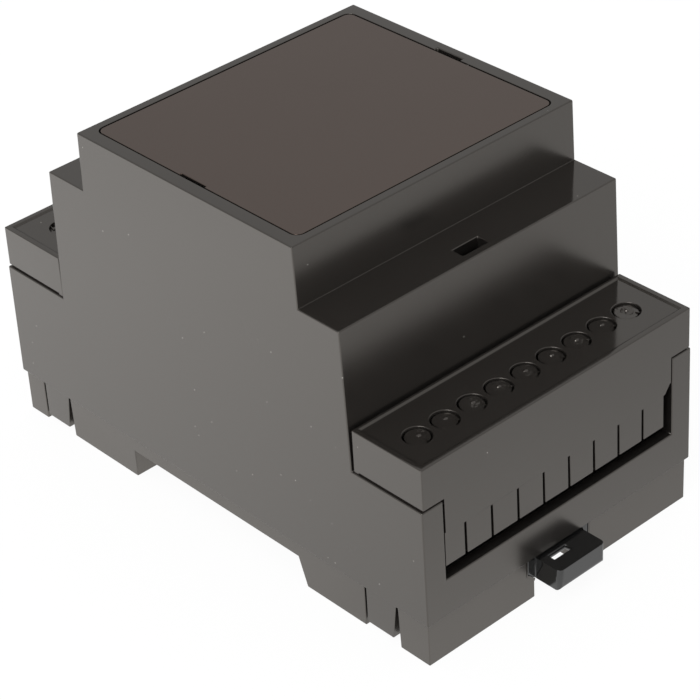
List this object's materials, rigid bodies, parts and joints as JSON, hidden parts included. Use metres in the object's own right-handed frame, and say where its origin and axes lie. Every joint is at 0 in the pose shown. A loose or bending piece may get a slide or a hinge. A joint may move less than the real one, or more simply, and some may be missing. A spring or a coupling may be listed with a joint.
{
  "type": "rail-mounted electronics enclosure",
  "caption": "Stepped black plastic enclosure that clips on a mounting rail, with terminal covers, break-out fingers, a snap-in front panel and a sliding rail clip.",
  "frame": {"origin": "middle of the rail recess, on the plane of the feet", "axes": "+X along the rail, +Y across the rail away from the sliding clip, +Z away from the rail towards the front panel"},
  "size_m": [0.0528, 0.0945, 0.0577],
  "materials": {
    "satin_black": "satin black moulding",
    "textured_black": "fine spark-eroded black moulding",
    "panel_black": "smooth satin black moulding",
    "gloss_black": "gloss black moulding"
  },
  "bodies": {
    "case": {"housing": "satin_black", "base": "textured_black"},
    "panel": {"front_panel": "panel_black"},
    "cover_front": {"terminal_cover_front": "satin_black"},
    "cover_rear": {"terminal_cover_rear": "satin_black"},
    "clip": {"rail_clip": "gloss_black"}
  },
  "joints": [
    {"name": "clip_slide", "type": "slide", "parent": "case", "child": "clip", "axis": [0, -1, 0], "range_m": [0, 0.0035]},
    {"name": "panel_lift", "type": "slide", "parent": "case", "child": "panel", "axis": [0, 0, 1], "range_m": [0, 0.012]},
    {"name": "cover_front_lift", "type": "slide", "parent": "case", "child": "cover_front", "axis": [0, 0, 1], "range_m": [0, 0.02]},
    {"name": "cover_rear_lift", "type": "slide", "parent": "case", "child": "cover_rear", "axis": [0, 0, 1], "range_m": [0, 0.02]}
  ]
}
